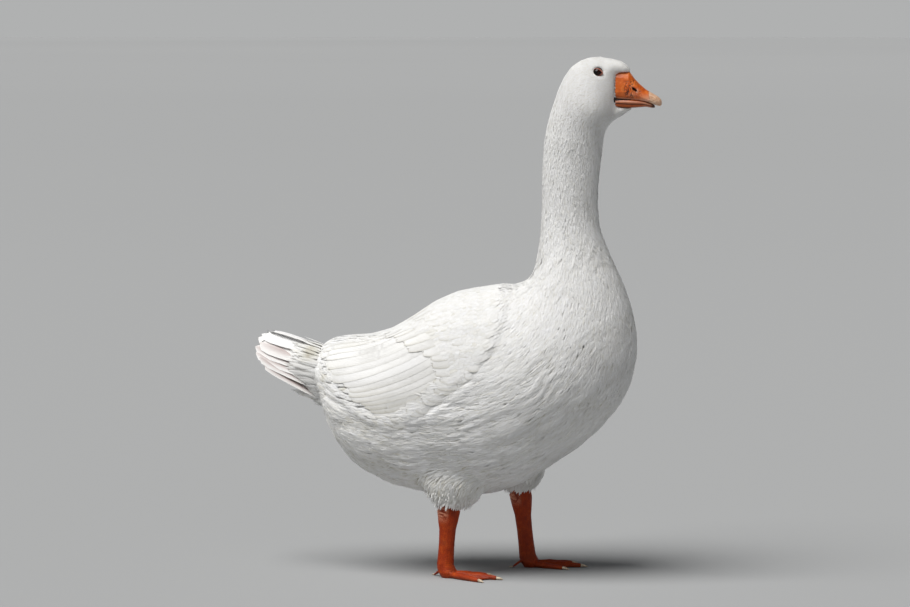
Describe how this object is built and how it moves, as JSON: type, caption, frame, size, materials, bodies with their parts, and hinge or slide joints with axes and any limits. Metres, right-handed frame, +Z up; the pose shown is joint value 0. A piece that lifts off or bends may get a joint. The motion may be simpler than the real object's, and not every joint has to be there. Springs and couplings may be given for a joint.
{
  "type": "domestic goose",
  "caption": "Life-size white domestic goose standing alert with raised neck, folded wings, fanned tail, orange bill and webbed orange feet, one leg a step ahead.",
  "frame": {"origin": "on the floor, under the middle of the bird's own bounding box", "axes": "+X the way the goose faces, +Y its left side, +Z up"},
  "size_m": [0.6482, 0.2678, 0.8217],
  "materials": {
    "plumage": "soft white feathers, faintly cream on the back and wings",
    "bill": "satin orange horn with pale pink edges",
    "bill_nail": "smooth pale pinkish horn",
    "eye": "wet, very dark brown",
    "leg_skin": "scaly orange-red skin",
    "claw": "satin horn, paler at the tip"
  },
  "bodies": {
    "root": {"head": "plumage", "neck_upper": "plumage", "neck_lower": "plumage", "trunk": "plumage", "wing_left": "plumage", "wing_right": "plumage", "tail": "plumage", "thigh_left": "plumage", "thigh_right": "plumage", "bill_upper": "bill", "bill_lower": "bill", "bill_nail": "bill_nail", "eye_left": "eye", "eye_right": "eye", "shank_left": "leg_skin", "shank_right": "leg_skin", "foot_left": "leg_skin", "foot_right": "leg_skin", "claw_left_inner": "claw", "claw_left_middle": "claw", "claw_left_outer": "claw", "claw_left_hind": "claw", "claw_right_inner": "claw", "claw_right_middle": "claw", "claw_right_outer": "claw", "claw_right_hind": "claw"}
  },
  "joints": []
}
